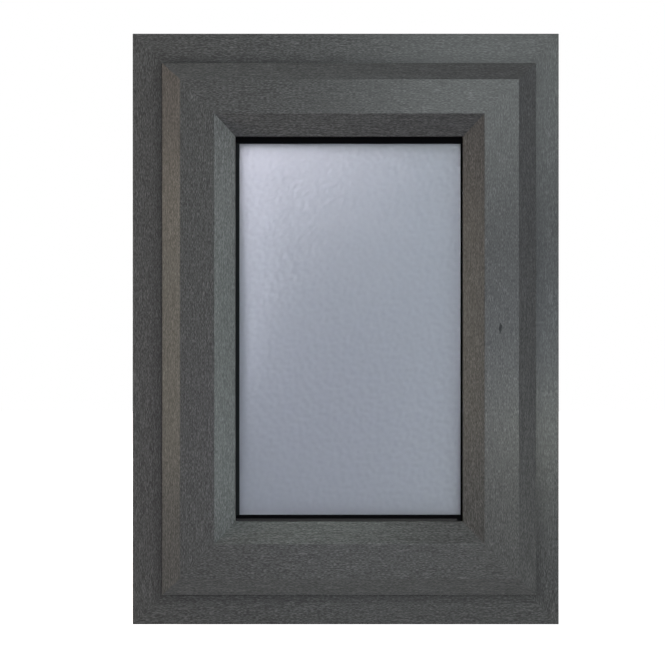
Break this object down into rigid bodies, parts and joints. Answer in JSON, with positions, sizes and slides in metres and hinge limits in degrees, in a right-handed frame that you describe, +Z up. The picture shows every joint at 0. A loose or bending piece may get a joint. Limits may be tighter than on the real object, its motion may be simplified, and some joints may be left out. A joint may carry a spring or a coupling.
{
  "type": "triple glazed window",
  "caption": "Small casement window, closed: mitred hollow plastic frame, bevelled sash, stippled triple glass unit, gaskets, beads and room-side handle.",
  "frame": {"origin": "middle of the frame's bottom face, halfway through the frame's depth", "axes": "+Z up; -Y towards the weather side, +Y towards the room; +X to the right seen from outside"},
  "size_m": [0.44, 0.0953, 0.61],
  "materials": {
    "frame_foil": "anthracite woodgrain foil",
    "sash_foil": "anthracite woodgrain foil",
    "stippled_glass": "stippled",
    "clear_glass": "clear",
    "spacer": "rolled",
    "sealant": "matt",
    "gasket_rubber": "satin",
    "packer_plastic": "moulded",
    "button_plastic": "moulded",
    "handle_metal": "satin"
  },
  "bodies": {
    "root": {"edge_sealant": "sealant", "frame_bottom_rail": "frame_foil", "frame_head": "frame_foil", "frame_left_jamb": "frame_foil", "frame_right_jamb": "frame_foil", "friction_stay_bottom": "handle_metal", "friction_stay_top": "handle_metal", "glazing_bead_bottom": "sash_foil", "glazing_bead_left": "sash_foil", "glazing_bead_right": "sash_foil", "glazing_bead_top": "sash_foil", "glazing_packers": "packer_plastic", "handle_base": "handle_metal", "handle_lever": "handle_metal", "handle_lock_button": "button_plastic", "handle_spindle": "handle_metal", "inner_gasket_bottom": "gasket_rubber", "inner_gasket_left": "gasket_rubber", "inner_gasket_right": "gasket_rubber", "inner_gasket_top": "gasket_rubber", "inner_pane": "clear_glass", "inner_spacer_bar": "spacer", "inner_weather_seal": "gasket_rubber", "lock_keeps": "handle_metal", "lock_rail": "handle_metal", "middle_pane": "clear_glass", "outer_gasket_bottom": "gasket_rubber", "outer_gasket_left": "gasket_rubber", "outer_gasket_right": "gasket_rubber", "outer_gasket_top": "gasket_rubber", "outer_pane": "stippled_glass", "outer_spacer_bar": "spacer", "outer_weather_seal": "gasket_rubber", "sash_bottom_rail": "sash_foil", "sash_left_stile": "sash_foil", "sash_right_stile": "sash_foil", "sash_top_rail": "sash_foil"}
  },
  "joints": []
}
